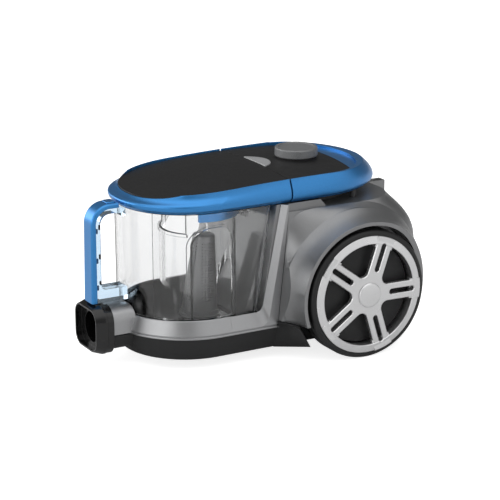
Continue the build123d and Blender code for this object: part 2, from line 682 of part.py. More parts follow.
def button_sketch(plane, grow=0.0):
    """D shape of the rewind button, straight edge towards the front."""
    with BuildSketch(plane) as sk:
        with BuildLine():
            Line((17.9 - grow, -25.2 - grow), (17.9 - grow, 25.2 + grow))
            ThreePointArc((17.9 - grow, 25.2 + grow), (35.6 + grow, 0), (17.9 - grow, -25.2 - grow))
        make_face()
    return sk.sketch


with BuildPart() as rear_panel:
    panel_solid()
    split(bisect_by=Plane.YZ.offset(SPLIT_R - 0.6), keep=Keep.TOP)
    extrude(button_sketch(Plane.XY.offset(195), 0.5), amount=40, mode=Mode.SUBTRACT)
    # collar under the dial
    with BuildSketch(Plane.XY.offset(211.0)):
        with Locations((DIAL_X, 0)):
            Circle(24.0)
    extrude(amount=3.3)
    with BuildSketch(Plane.XY.offset(195)):
        with Locations((DIAL_X, 0)):
            Circle(4.5)
    extrude(amount=40, mode=Mode.SUBTRACT)
rear_panel.part.label = "rear_panel"
export_step(rear_panel.part, "parts/rear_panel.step")

with BuildPart() as lid_duct:
    # half-round collar outside the tube, with a roof over it
    with BuildSketch(Plane.XY.offset(163.5)):
        with Locations((TUBE_X, 0)):
            Circle(48.0)
            Circle(45.0, mode=Mode.SUBTRACT)
    extrude(amount=22.5)
    with BuildSketch(Plane.XY.offset(184.0)):
        with Locations((TUBE_X, 0)):
            Circle(48.0)
    extrude(amount=2.0)
    with BuildSketch(Plane.XY.offset(160)):
        with Locations((-78 - 50, 0)):
            Rectangle(100, 140)
    extrude(amount=40, mode=Mode.SUBTRACT)
    # way out to the rear
    with BuildSketch(x_plane(-40)):
        with Locations((0, 172.5)):
            RectangleRounded(31.6, 13, 2)
    extrude(amount=60, mode=Mode.SUBTRACT)
    # posts up to the underside of the lid panel
    with BuildSketch(Plane.XY.offset(185.0)):
        with Locations((-68, 34), (-68, -34), (-22, 0)):
            Circle(4.0)
    extrude(amount=40.0)
    add(over_deck(PANEL_T + 0.1), mode=Mode.SUBTRACT)
lid_duct.part.label = "lid_duct"
export_step(lid_duct.part, "parts/lid_duct.step")

with BuildPart() as lid_seal:
    extrude(d_sketch(Plane.XY.offset(183.9), 78.2, -4.0, 9), amount=5.0)
    extrude(d_sketch(Plane.XY.offset(183.9), 75.9, -6.3, 8), amount=6.0, mode=Mode.SUBTRACT)
lid_seal.part.label = "lid_seal"
export_step(lid_seal.part, "parts/lid_seal.step")

# ---------------------------------------------------------------- rear housing
arch_contour = [(-6, 30), (-3.5, 48), (2.5, 84), (7.5, 125), (10.5, 146), (15, 162), (26, 171.5), (42, 174.5),
                (70, 174.6), (98, 174.4), (124, 171.5), (148, 161), (170, 142), (186, 114), (193, 84), (190, 55),
                (176, 20), (130, -10), (60, -14), (10, 2)]


def contour_sketch(plane, pts):
    with BuildSketch(plane) as sk:
        with BuildLine():
            Spline(*pts, periodic=True)
        make_face()
    return sk.sketch


def arch_circle(plane, radius):
    pts = []
    for x, z in arch_contour:
        dx, dz = x - WHEEL_X, z - WHEEL_Z
        l = sqrt(dx * dx + dz * dz)
        pts.append((WHEEL_X + dx / l * radius, WHEEL_Z + dz / l * radius))
    return contour_sketch(plane, pts)


def housing_outer():
    """Sections of the outside of the rear body."""
    return [tail_sketch(Plane.XY.offset(40.2), 88.0, 198.4, 43),
            tail_sketch(Plane.XY.offset(70), 89.0, 201.0, 43),
            tail_sketch(Plane.XY.offset(100), 89.5, 201.4, 41),
            tail_sketch(Plane.XY.offset(124), 89.3, 199.6, 38),
            tail_sketch(Plane.XY.offset(151), 88.6, 187.2, 43),
            tail_sketch(Plane.XY.offset(174), 86.5, 164.6, 46)]


def housing_inner():
    """Sections of the hollow of the rear body."""
    return [tail_sketch(Plane.XY.offset(39.0), 84.5, 195.1, 40, xf=4.0),
            tail_sketch(Plane.XY.offset(70), 85.5, 197.6, 40, xf=4.0),
            tail_sketch(Plane.XY.offset(100), 86.0, 198.0, 38, xf=4.0),
            tail_sketch(Plane.XY.offset(124), 85.8, 196.0, 35, xf=4.0),
            tail_sketch(Plane.XY.offset(149), 85.0, 184.4, 40, xf=4.0),
            tail_sketch(Plane.XY.offset(171), 83.0, 162.6, 43, xf=4.0)]


with BuildPart() as rear_housing:
    loft(housing_outer())
    # shoulder under the ring
    extrude(poly_sketch(Plane.XZ.offset(-84), [(-20, 168), (-20, 183.0), (57, 183.0), (64.5, 174.5), (64.5, 168)]),
            amount=168)
    # cut the front back to the pillar line, then add the wall behind the cup
    extrude(poly_sketch(Plane.XZ.offset(-140), [(-60, 30), (-2.0, 30), (-0.9, 41.6), (14.1, 184.6), (14.1, 200), (-60, 200)]),
            amount=280, mode=Mode.SUBTRACT)
    extrude(poly_sketch(Plane.XZ.offset(-81.8), [(cup_rear(40.2) + 1.5, 40.2), (20, 40.2), (20, 183.0), (cup_rear(183.0) + 1.5, 183.0)]),
            amount=163.6)
    # wheel arches
    for s in (1, -1):
        loft([contour_sketch(Plane.XZ.offset(s * 80.0), arch_contour),
              contour_sketch(Plane.XZ.offset(s * 87.8), arch_contour)], ruled=True)
        loft([contour_sketch(Plane.XZ.offset(s * 87.8), arch_contour),
              arch_circle(Plane.XZ.offset(s * 101.0), 94.0)], ruled=True)
        with BuildSketch(Plane(origin=(WHEEL_X, 0, WHEEL_Z), x_dir=(0, -s, 0), z_dir=(1, 0, 0))):
            with BuildLine():
                Polyline((96.0, 0), (96.0, 95.0), (100.0, 95.0))
                Spline((100.0, 95.0), (110.0, 90.0), (120.0, 87.0), (130.6, 85.2), tangents=((1, -0.55), (1, -0.12)))
                Polyline((130.6, 85.2), (130.6, 0), (96.0, 0))
            make_face()
        revolve(axis=WHEEL_AXIS)
    # arches end above the floor, their rear ends taper inwards
    with BuildSketch(Plane.XY.offset(-40)):
        with Locations((90, 110)):
            Rectangle(300, 60.4)
        with Locations((90, -110)):
            Rectangle(300, 60.4)
        with Locations((94, 0)):
            Rectangle(300, 165)
    extrude(amount=80.2, mode=Mode.SUBTRACT)
    with BuildSketch(Plane.XY.offset(30)):
        with Locations((90, 120)):
            Rectangle(300, 60.4)
        with Locations((90, -120)):
            Rectangle(300, 60.4)
    extrude(amount=18.6, mode=Mode.SUBTRACT)
    for s in (1, -1):
        with BuildSketch(Plane.XY.offset(40)):
            with BuildLine():
                Spline((96, s * 130.7), (130, s * 126.5), (165, s * 116), (200, s * 98), tangents=((1, 0), (0.8, -s * 0.6)))
                Polyline((200, s * 98), (230, s * 98), (230, s * 150), (96, s * 150), (96, s * 130.7))
            make_face()
        extrude(amount=150, mode=Mode.SUBTRACT)
    # trim the arches to the pillar line
    for s in (1, -1):
        extrude(poly_sketch(Plane.XZ.offset(s * 81.8), [(-60, 30), (-2.0, 30), (-0.9, 41.6), (14.1, 184.6), (14.1, 200), (-60, 200)]),
                amount=s * 60, mode=Mode.SUBTRACT)
    # hollow
    loft(housing_inner(), mode=Mode.SUBTRACT)
    extrude(poly_sketch(Plane.XZ.offset(-79), [(cup_rear(40) + 4.3, 39.0), (12, 39.0), (12, 171), (cup_rear(171) + 4.3, 171)]),
            amount=158, mode=Mode.SUBTRACT)
    # wheel wells
    for s in (1, -1):
        with BuildSketch(Plane.XZ.offset(s * 93.0)):
            with Locations((WHEEL_X, WHEEL_Z)):
                Circle(ARCH_R)
        extrude(amount=s * 60, mode=Mode.SUBTRACT)
    # axle bosses
    for s in (1, -1):
        with BuildSketch(Plane.XZ.offset(s * 78.0)):
            with Locations((WHEEL_X, WHEEL_Z)):
                Circle(12)
        extrude(amount=s * 21.0)
        with BuildSketch(Plane.XZ.offset(s * 70.0)):
            with Locations((WHEEL_X, WHEEL_Z)):
                Circle(AXLE_R)
        extrude(amount=s * 40.0, mode=Mode.SUBTRACT)
    # air opening behind the cup outlet
    with BuildSketch(x_plane(-30)):
        with Locations((0, 166.0)):
            RectangleRounded(38, 15, 4)
    extrude(amount=60, mode=Mode.SUBTRACT)
    # exhaust window, cord outlet
    with BuildSketch(x_plane(170)):
        with Locations((0, 96)):
            RectangleRounded(88, 60, 8)
        with Locations((30, 53)):
            Circle(6.5)
    extrude(amount=60, mode=Mode.SUBTRACT)
    # screw posts
    with BuildSketch(Plane.XY.offset(40.2)):
        with Locations((30, 66), (30, -66), (120, 66), (120, -66), (160, 50), (160, -50)):
            Circle(5.5)
            Circle(2.0, mode=Mode.SUBTRACT)
    extrude(amount=12.0)
    for px, py in ((30, 66), (30, -66), (120, 66), (120, -66)):
        with BuildSketch(Plane.XY.offset(40.2)):
            with Locations((px, py + (13.5 if py > 0 else -13.5))):
                Rectangle(4, 17.5)
        extrude(amount=12.0)
    for s in (1, -1):
        with BuildSketch(Plane.XY.offset(40.2)):
            with Locations((180, s * 50)):
                Rectangle(34, 4)
        extrude(amount=12.0)
rear_housing.part.label = "rear_housing"
export_step(rear_housing.part, "parts/rear_housing.step")

# ---------------------------------------------------------------- top deck under the rear ring
with BuildPart() as top_deck:
    extrude(ring_sketch(Plane.XY.offset(184.5), 10.2), amount=2.4)
    split(bisect_by=Plane.YZ.offset(20.5), keep=Keep.TOP)
    extrude(ring_sketch(Plane.XY.offset(174.3), 26.0), amount=10.2)
    extrude(ring_sketch(Plane.XY.offset(174.2), 29.0), amount=10.3, mode=Mode.SUBTRACT)
    # only the rear part of the deck has the skirt
    with BuildSketch(Plane.XY.offset(174.0)):
        with Locations((-133, 0)):
            Rectangle(400, 300)
    extrude(amount=10.5, mode=Mode.SUBTRACT)
    # posts in the gap under the ring
    with BuildSketch(Plane.XY.offset(174.3)):
        with Locations((113, 64.0), (113, -64.0)):
            Circle(3.0)
    extrude(amount=10.2)
    # guide for the button stem, stand-offs for the board
    with BuildSketch(Plane.XY.offset(186.9)):
        with Locations((28, 0)):
            Circle(5.0)
            Circle(3.5, mode=Mode.SUBTRACT)
    extrude(amount=8.0)
    with BuildSketch(Plane.XY.offset(186.9)):
        with Locations((48, 34), (48, -34), (100, 34), (100, -34)):
            Circle(3.0)
    extrude(amount=3.0)
top_deck.part.label = "top_deck"
export_step(top_deck.part, "parts/top_deck.step")

with BuildPart() as control_board:
    with BuildSketch(Plane.XY.offset(189.9)):
        with Locations((74, 0)):
            RectangleRounded(60, 78, 3)
    extrude(amount=1.6)
    with BuildSketch(Plane.XY.offset(191.5)):
        with Locations((56, 24)):
            Rectangle(12, 16)
        with Locations((58, -22)):
            Circle(6)
        with Locations((92, 24)):
            Rectangle(14, 10)
        with Locations((94, -22)):
            Rectangle(8, 20)
    extrude(amount=8.0)
control_board.part.label = "control_board"
export_step(control_board.part, "parts/control_board.step")

with BuildPart() as dial_potentiometer:
    with BuildSketch(Plane.XY.offset(191.5)):
        with Locations((DIAL_X, 0)):
            Circle(9.0)
    extrude(amount=7.0)
    with BuildSketch(Plane.XY.offset(198.5)):
        with Locations((DIAL_X, 0)):
            Circle(3.0)
    extrude(amount=20.0)
dial_potentiometer.part.label = "dial_potentiometer"
export_step(dial_potentiometer.part, "parts/dial_potentiometer.step")

# ---------------------------------------------------------------- dial and rewind button
with BuildPart() as suction_dial:
    with BuildSketch(Plane(origin=(DIAL_X, 0, 0), x_dir=(1, 0, 0), z_dir=(0, -1, 0))):
        with BuildLine():
            Polyline((3.05, 214.8), (24.6, 214.8), (25.5, 215.8), (25.1, 223.6))
            ThreePointArc((25.1, 223.6), (24.6, 224.7), (23.4, 225.2))
            Polyline((23.4, 225.2), (21.4, 225.2), (20.6, 224.2), (0, 224.2), (0, 219.0), (3.05, 219.0), (3.05, 214.8))
        make_face()
    revolve(axis=Axis((DIAL_X, 0, 0), (0, 0, 1)))
    # setting mark on the rim
    with BuildSketch(Plane.XY.offset(224.5)):
        with Locations((DIAL_X - 23.0, 0)):
            Rectangle(3.0, 1.2)
    extrude(amount=3, mode=Mode.SUBTRACT)
suction_dial.part.label = "suction_dial"
export_step(suction_dial.part, "parts/suction_dial.step")

with BuildPart() as rewind_button:
    extrude(button_sketch(Plane.XY.offset(210.0)), amount=4.3)
    fillet(rewind_button.faces().sort_by(Axis.Z)[-1].edges(), 0.8)
    with BuildSketch(Plane.XY.offset(191.5)):
        with Locations((28, 0)):
            Circle(3.0)
    extrude(amount=19.5)
rewind_button.part.label = "rewind_button"
export_step(rewind_button.part, "parts/rewind_button.step")

with BuildPart() as rewind_spring:
    with BuildLine() as coil_line:
        Helix(pitch=4.28, height=21.4, radius=6.4, center=(28, 0, 187.8))
    with BuildSketch(Plane(origin=coil_line.line @ 0, z_dir=coil_line.line % 0)):
        Circle(0.6)
    sweep(path=coil_line.line, is_frenet=True)
rewind_spring.part.label = "rewind_spring"
export_step(rewind_spring.part, "parts/rewind_spring.step")

# ---------------------------------------------------------------- wheels
SPOKE_TURN = -1.0
for side, s in (("left", 1), ("right", -1)):
    wheel_plane = Plane(origin=(WHEEL_X, 0, WHEEL_Z), x_dir=(0, -s, 0), z_dir=(1, 0, 0))

    with BuildPart() as tyre:
        with BuildSketch(wheel_plane):
            with BuildLine():
                Polyline((TYRE_IN, 69.5), (TYRE_IN, 72.5))
                ThreePointArc((TYRE_IN, 72.5), (TYRE_IN + 1.2, 75.0), (TYRE_IN + 4.0, WHEEL_R))
                Polyline((TYRE_IN + 4.0, WHEEL_R), (109.4, WHEEL_R), (109.7, 75.1), (110.7, 75.1), (111.0, WHEEL_R),
                         (121.4, WHEEL_R), (121.7, 75.1), (122.7, 75.1), (123.0, WHEEL_R), (TYRE_OUT - 5.0, WHEEL_R))
                ThreePointArc((TYRE_OUT - 5.0, WHEEL_R), (TYRE_OUT - 1.4, 74.6), (TYRE_OUT, 71.5))
                Polyline((TYRE_OUT, 71.5), (TYRE_OUT, 69.5), (TYRE_IN, 69.5))
            make_face()
        revolve(axis=WHEEL_AXIS)
    tyre.part.label = side + "_tyre"
    export_step(tyre.part, "parts/" + side + "_tyre.step")

    with BuildPart() as rim_pads:
        # dished ends of the spokes, part of the rim
        with BuildSketch(wheel_plane):
            with BuildLine():
                Polyline((126.5, 56.5), (131.7, 56.5), (133.2, 68.8), (132.6, 69.45), (126.5, 69.45), close=True)
            make_face()
        revolve(axis=WHEEL_AXIS)
        with BuildSketch(Plane.XZ.offset(s * 120.0)):
            with Locations((WHEEL_X, WHEEL_Z)):
                with PolarLocations(62.0, 5, start_angle=SPOKE_TURN):
                    Rectangle(18.0, 23.4)
        extrude(amount=s * 20.0, mode=Mode.INTERSECT)

    with BuildPart() as rim:
        # barrel, with a face that slopes outwards between the spokes
        with BuildSketch(wheel_plane):
            with BuildLine():
                Polyline((104.0, 63.0), (104.0, 69.45), (130.6, 69.45), (131.3, 69.0), (133.2, 60.8), (132.5, 60.0),
                         (126.0, 60.0), (110.0, 63.0), close=True)
            make_face()
        revolve(axis=WHEEL_AXIS)
        add(rim_pads.part)
        # five double spokes that meet in rounded corners round the hub
        with BuildSketch(Plane.XZ.offset(s * 127.5)) as spokes:
            with Locations((WHEEL_X, WHEEL_Z)):
                with PolarLocations(30.6, 5, start_angle=SPOKE_TURN):
                    Rectangle(61.2, 20.4)
            fillet([v for v in spokes.vertices()
                    if (v.X - WHEEL_X) ** 2 + (v.Y - WHEEL_Z) ** 2 < 20.0 ** 2], 8.0)
        extrude(amount=s * 4.2)
        with BuildSketch(Plane.XZ.offset(s * 131.7)) as spoke_tops:
            with Locations((WHEEL_X, WHEEL_Z)):
                with PolarLocations(30.6, 5, start_angle=SPOKE_TURN):
                    Rectangle(61.2, 20.4)
            fillet([v for v in spoke_tops.vertices()
                    if (v.X - WHEEL_X) ** 2 + (v.Y - WHEEL_Z) ** 2 < 20.0 ** 2], 8.0)
        extrude(amount=s * 1.0, taper=40)
        # slots with bevelled edges, centre hole
        with BuildSketch(Plane.XZ.offset(s * 124.0)):
            with Locations((WHEEL_X, WHEEL_Z)):
                with PolarLocations(44.4, 5, start_angle=SPOKE_TURN):
                    SlotOverall(33.6, 6.0)
        extrude(amount=s * 12.0, mode=Mode.SUBTRACT)
        with BuildSketch(Plane.XZ.offset(s * 131.9)):
            with Locations((WHEEL_X, WHEEL_Z)):
                with PolarLocations(44.4, 5, start_angle=SPOKE_TURN):
                    SlotOverall(33.6, 6.0)
        extrude(amount=s * 1.6, taper=-42, mode=Mode.SUBTRACT)
        with BuildSketch(Plane.XZ.offset(s * 124.0)):
            with Locations((WHEEL_X, WHEEL_Z)):
                Circle(12.1)
        extrude(amount=s * 12.0, mode=Mode.SUBTRACT)
    rim.part.label = side + "_rim"
    export_step(rim.part, "parts/" + side + "_rim.step")

    with BuildPart() as disc:
        with BuildSketch(wheel_plane):
            with BuildLine():
                Polyline((101.0, 4.06), (127.3, 4.06), (127.3, 12.0), (121.0, 14.0), (119.0, 59.0), (112.0, 62.6),
                         (109.0, 62.6), (116.0, 57.0), (117.5, 14.0), (101.0, 12.0), close=True)
            make_face()
        revolve(axis=WHEEL_AXIS)
    disc.part.label = side + "_wheel_disc"
    export_step(disc.part, "parts/" + side + "_wheel_disc.step")

    with BuildPart() as hub_cap:
        with BuildSketch(wheel_plane):
            with BuildLine():
                Polyline((131.4, 0), (131.4, 10.0), (128.4, 10.0), (128.4, 12.0), (132.75, 12.0), (132.75, 14.6), (133.9, 14.6))
                Spline((133.9, 14.6), (135.6, 11.0), (136.5, 0), tangents=((0.9, -0.35), (0, -1)))
                Line((136.5, 0), (131.4, 0))
            make_face()
        revolve(axis=WHEEL_AXIS)
    hub_cap.part.label = side + "_hub_cap"
    export_step(hub_cap.part, "parts/" + side + "_hub_cap.step")

    with BuildPart() as axle:
        with BuildSketch(Plane.XZ.offset(s * 72.5)):
            with Locations((WHEEL_X, WHEEL_Z)):
                Circle(7.0)
        extrude(amount=s * 5.3)
        with BuildSketch(Plane.XZ.offset(s * 77.8)):
            with Locations((WHEEL_X, WHEEL_Z)):
                Circle(AXLE_R)
        extrude(amount=s * 51.8)
        # retaining washer beyond the hub
        with BuildSketch(Plane.XZ.offset(s * 127.8)):
            with Locations((WHEEL_X, WHEEL_Z)):
                Circle(7.5)
        extrude(amount=s * 1.0)
    axle.part.label = side + "_axle"
    export_step(axle.part, "parts/" + side + "_axle.step")

# ---------------------------------------------------------------- front caster
ROLL_R, TRAIL = 11.0, 7.0
with BuildPart() as caster_fork:
    with BuildSketch(Plane.XY.offset(23.4)):
        with Locations((CASTER_X, 0)):
            Circle(17.0)
    extrude(amount=5.2)
    with BuildSketch(Plane.XY.offset(28.6)):
        with Locations((CASTER_X, 0)):
            Circle(3.0)
    extrude(amount=3.0)
    for s in (1, -1):
        with BuildSketch(Plane.XZ.offset(s * 8.2)):
            with BuildLine():
                Polyline((CASTER_X - 6, 24.0), (CASTER_X + TRAIL - 4.0, 9.6))
                ThreePointArc((CASTER_X + TRAIL - 4.0, 9.6), (CASTER_X + TRAIL, 6.4), (CASTER_X + TRAIL + 4.0, 9.6))
                Polyline((CASTER_X + TRAIL + 4.0, 9.6), (CASTER_X + 13.5, 24.0), (CASTER_X - 6, 24.0))
            make_face()
        extrude(amount=s * 2.4)
    with BuildSketch(Plane.XZ.offset(-20)):
        with Locations((CASTER_X + TRAIL, ROLL_R)):
            Circle(1.8)
    extrude(amount=40, mode=Mode.SUBTRACT)
caster_fork.part.label = "caster_fork"
export_step(caster_fork.part, "parts/caster_fork.step")

with BuildPart() as caster_axle:
    with BuildSketch(Plane.XZ.offset(-10.6)):
        with Locations((CASTER_X + TRAIL, ROLL_R)):
            Circle(1.8)
    extrude(amount=21.2)
caster_axle.part.label = "caster_axle"
export_step(caster_axle.part, "parts/caster_axle.step")

with BuildPart() as caster_roller:
    with BuildSketch(Plane(origin=(CASTER_X + TRAIL, 0, ROLL_R), x_dir=(0, 1, 0), z_dir=(1, 0, 0))):
        with BuildLine():
            Polyline((-7.6, 1.86), (-7.6, 9.8))
            ThreePointArc((-7.6, 9.8), (-7.2, 10.7), (-6.2, ROLL_R))
            Line((-6.2, ROLL_R), (6.2, ROLL_R))
            ThreePointArc((6.2, ROLL_R), (7.2, 10.7), (7.6, 9.8))
            Polyline((7.6, 9.8), (7.6, 1.86), (-7.6, 1.86))
        make_face()
    revolve(axis=Axis((CASTER_X + TRAIL, 0, ROLL_R), (0, 1, 0)))
caster_roller.part.label = "caster_roller"
export_step(caster_roller.part, "parts/caster_roller.step")

# ---------------------------------------------------------------- suction side
with BuildPart() as inlet_gasket:
    with BuildSketch(Plane(origin=(cup_rear(166.0) + 0.5, 0, 166.0), x_dir=(0, 1, 0), z_dir=(0.98935, 0, -0.14549))):
        RectangleRounded(50, 24, 7)
        RectangleRounded(40, 16.4, 4.5, mode=Mode.SUBTRACT)
    extrude(amount=0.9)
inlet_gasket.part.label = "inlet_gasket"
export_step(inlet_gasket.part, "parts/inlet_gasket.step")

with BuildPart() as suction_plenum:
    extrude(poly_sketch(Plane.XZ.offset(-30), [(cup_rear(56) + 4.8, 56), (30, 56), (30, 170.6), (cup_rear(170.6) + 4.8, 170.6)]),
            amount=90)
    extrude(poly_sketch(Plane.XZ.offset(-27.6), [(cup_rear(58.4) - 10, 58.4), (27.6, 58.4), (27.6, 168.2), (cup_rear(168.2) - 10, 168.2)]),
            amount=85.2, mode=Mode.SUBTRACT)
    with BuildSketch(x_plane(20)):
        with Locations((MOTOR_Y + 14, MOTOR_Z)):
            Circle(20)
    extrude(amount=20, mode=Mode.SUBTRACT)
suction_plenum.part.label = "suction_plenum"
export_step(suction_plenum.part, "parts/suction_plenum.step")

with BuildPart() as premotor_filter:
    with BuildSketch(x_plane(13)):
        with Locations((-15, 104)):
            RectangleRounded(84.6, 90.6, 4)
    extrude(amount=12)
premotor_filter.part.label = "premotor_filter"
export_step(premotor_filter.part, "parts/premotor_filter.step")

# ---------------------------------------------------------------- motor
MY = MOTOR_Y + 14
with BuildPart() as motor_front_mount:
    with BuildSketch(x_plane(30.05)):
        with Locations((MY, MOTOR_Z)):
            Circle(46)
            Circle(21, mode=Mode.SUBTRACT)
    extrude(amount=5.9)
motor_front_mount.part.label = "motor_front_mount"
export_step(motor_front_mount.part, "parts/motor_front_mount.step")

with BuildPart() as fan_cover:
    with BuildSketch(Plane(origin=(0, MY, MOTOR_Z), x_dir=(1, 0, 0), z_dir=(0, -1, 0))):
        with BuildLine():
            Polyline((36.0, 20.0), (36.0, 40.0))
            ThreePointArc((36.0, 40.0), (37.8, 44.2), (42.0, 46.0))
            Polyline((42.0, 46.0), (66.0, 46.0), (66.0, 30.0), (63.6, 30.0), (63.6, 43.6), (42.0, 43.6))
            ThreePointArc((42.0, 43.6), (39.4, 42.6), (38.4, 40.0))
            Polyline((38.4, 40.0), (38.4, 20.0), (36.0, 20.0))
        make_face()
    revolve(axis=Axis((0, MY, MOTOR_Z), (1, 0, 0)))
fan_cover.part.label = "fan_cover"
export_step(fan_cover.part, "parts/fan_cover.step")

with BuildPart() as motor_can:
    with BuildSketch(Plane(origin=(0, MY, MOTOR_Z), x_dir=(1, 0, 0), z_dir=(0, -1, 0))):
        with BuildLine():
            Polyline((66.05, 34.0), (66.05, 38.0), (122.0, 38.0), (126.0, 34.0), (132.0, 14.0), (132.0, 4.06),
                     (129.0, 4.06), (129.0, 12.0), (123.6, 32.0), (120.0, 35.6), (69.0, 35.6), (69.0, 34.0), close=True)
        make_face()
    revolve(axis=Axis((0, MY, MOTOR_Z), (1, 0, 0)))
    # cooling windows round the tail
    with BuildSketch(x_plane(118)):
        with Locations((MY, MOTOR_Z)):
            with PolarLocations(25.0, 6):
                SlotOverall(14, 5, rotation=90)
    extrude(amount=20, mode=Mode.SUBTRACT)
motor_can.part.label = "motor_can"
export_step(motor_can.part, "parts/motor_can.step")

with BuildPart() as motor_stator:
    with BuildSketch(x_plane(78)):
        with Locations((MY, MOTOR_Z)):
            Circle(35.55)
            Circle(24.0, mode=Mode.SUBTRACT)
    extrude(amount=34)
motor_stator.part.label = "motor_stator"
export_step(motor_stator.part, "parts/motor_stator.step")

with BuildPart() as motor_rotor:
    # shaft
    with BuildSketch(x_plane(42)):
        with Locations((MY, MOTOR_Z)):
            Circle(4.0)
    extrude(amount=92)
    # armature
    with BuildSketch(x_plane(80)):
        with Locations((MY, MOTOR_Z)):
            Circle(22.8)
            with PolarLocations(22.8, 12):
                Rectangle(4.0, 2.2, mode=Mode.SUBTRACT)
    extrude(amount=30)
    # fan: two discs with curved vanes between
    with BuildSketch(x_plane(46)):
        with Locations((MY, MOTOR_Z)):
            Circle(40)
            Circle(17, mode=Mode.SUBTRACT)
    extrude(amount=1.2)
    with BuildSketch(x_plane(58)):
        with Locations((MY, MOTOR_Z)):
            Circle(40)
    extrude(amount=1.6)
    with BuildSketch(x_plane(47.0)):
        with Locations((MY, MOTOR_Z)):
            with PolarLocations(28.0, 8):
                Rectangle(22.0, 1.4, rotation=35)
    extrude(amount=11.2)
motor_rotor.part.label = "motor_rotor"
export_step(motor_rotor.part, "parts/motor_rotor.step")

with BuildPart() as motor_rear_mount:
    with BuildSketch(x_plane(100)):
        with Locations((MY, MOTOR_Z - 42.0)):
            Rectangle(50, 36)
        with Locations((MY, MOTOR_Z)):
            Circle(38.05, mode=Mode.SUBTRACT)
    extrude(amount=14)
    with BuildSketch(x_plane(99)):
        with Locations((MY, 34.0)):
            Rectangle(60, 20.0, mode=Mode.ADD)
    extrude(amount=16, mode=Mode.SUBTRACT)
motor_rear_mount.part.label = "motor_rear_mount"
export_step(motor_rear_mount.part, "parts/motor_rear_mount.step")

# ---------------------------------------------------------------- cord reel
with BuildPart() as reel_drum:
    with BuildSketch(Plane(origin=(REEL_X, 0, REEL_Z), x_dir=(0, 1, 0), z_dir=(1, 0, 0))):
        with BuildLine():
            Polyline((34, 5.06), (34, 52), (36, 52), (36, 22), (68, 22), (68, 52), (70, 52), (70, 5.06), close=True)
        make_face()
    revolve(axis=Axis((REEL_X, 0, REEL_Z), (0, 1, 0)))
    for yy in (33.5, 67.5):
        with BuildSketch(Plane.XZ.offset(-yy)):
            with Locations((REEL_X, REEL_Z)):
                with PolarLocations(37.0, 6):
                    Circle(7.0)
        extrude(amount=-3.0, mode=Mode.SUBTRACT)
reel_drum.part.label = "reel_drum"
export_step(reel_drum.part, "parts/reel_drum.step")

with BuildPart() as reel_spindle:
    with BuildSketch(Plane.XZ.offset(-82.0)):
        with Locations((REEL_X, REEL_Z)):
            Circle(14.0)
    extrude(amount=6.0)
    with BuildSketch(Plane.XZ.offset(-76.0)):
        with Locations((REEL_X, REEL_Z)):
            Circle(5.0)
    extrude(amount=45.0)
    with BuildSketch(Plane.XZ.offset(-31.0)):
        with Locations((REEL_X, REEL_Z)):
            Circle(7.5)
    extrude(amount=2.0)
reel_spindle.part.label = "reel_spindle"
export_step(reel_spindle.part, "parts/reel_spindle.step")

with BuildPart() as rewind_spring_case:
    with BuildSketch(Plane.XZ.offset(-82.0)):
        with Locations((REEL_X, REEL_Z)):
            Circle(22.0)
            Circle(14.05, mode=Mode.SUBTRACT)
    extrude(amount=10.0)
rewind_spring_case.part.label = "rewind_spring_case"
export_step(rewind_spring_case.part, "parts/rewind_spring_case.step")

with BuildPart() as cord_outlet:
    with BuildSketch(x_plane(192)):
        with Locations((30, 53)):
            Circle(6.45)
            Circle(4.2, mode=Mode.SUBTRACT)
    extrude(amount=9.6)
    fillet(cord_outlet.edges().sort_by(Axis.X)[-2:], 0.8)
cord_outlet.part.label = "cord_outlet"
export_step(cord_outlet.part, "parts/cord_outlet.step")

# ---------------------------------------------------------------- exhaust
with BuildPart() as exhaust_filter:
    with BuildSketch(x_plane(168)):
        with Locations((0, 96)):
            RectangleRounded(86, 58, 6)
    extrude(amount=16)
exhaust_filter.part.label = "exhaust_filter"
export_step(exhaust_filter.part, "parts/exhaust_filter.step")

with BuildPart() as exhaust_grille:
    loft(housing_outer())
    loft(housing_inner(), mode=Mode.SUBTRACT)
    with BuildSketch(x_plane(170)):
        with Locations((0, 96)):
            RectangleRounded(86.8, 58.8, 7.4)
    extrude(amount=60, mode=Mode.INTERSECT)
    with BuildSketch(x_plane(170)):
        with GridLocations(0, 6.2, 1, 8):
            with Locations((0, 96)):
                SlotOverall(76, 3.2)
    extrude(amount=60, mode=Mode.SUBTRACT)
exhaust_grille.part.label = "exhaust_grille"
export_step(exhaust_grille.part, "parts/exhaust_grille.step")

# ---------------------------------------------------------------- parking bracket
with BuildPart() as parking_bracket:
    extrude(poly_sketch(Plane.XZ.offset(-6.5), [(150, 140), (150, PARK_TOP), (PARK_REAR, PARK_TOP), (PARK_REAR, 150), (186, 132), (165, 132)]),
            amount=13)
    fillet(parking_bracket.edges().filter_by(Axis.Z).group_by(Axis.X)[-1], 1.0)
    # slot for the hook of a floor tool
    with BuildSketch(Plane.XY.offset(120)):
        with Locations((PARK_REAR - 8.5, 0)):
            RectangleRounded(12, 6, 1.2)
    extrude(amount=80, mode=Mode.SUBTRACT)
    loft(housing_outer(), mode=Mode.SUBTRACT)
parking_bracket.part.label = "parking_bracket"
export_step(parking_bracket.part, "parts/parking_bracket.step")
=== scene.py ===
import json
import math

import bmesh
import bpy
from mathutils import Matrix, Vector


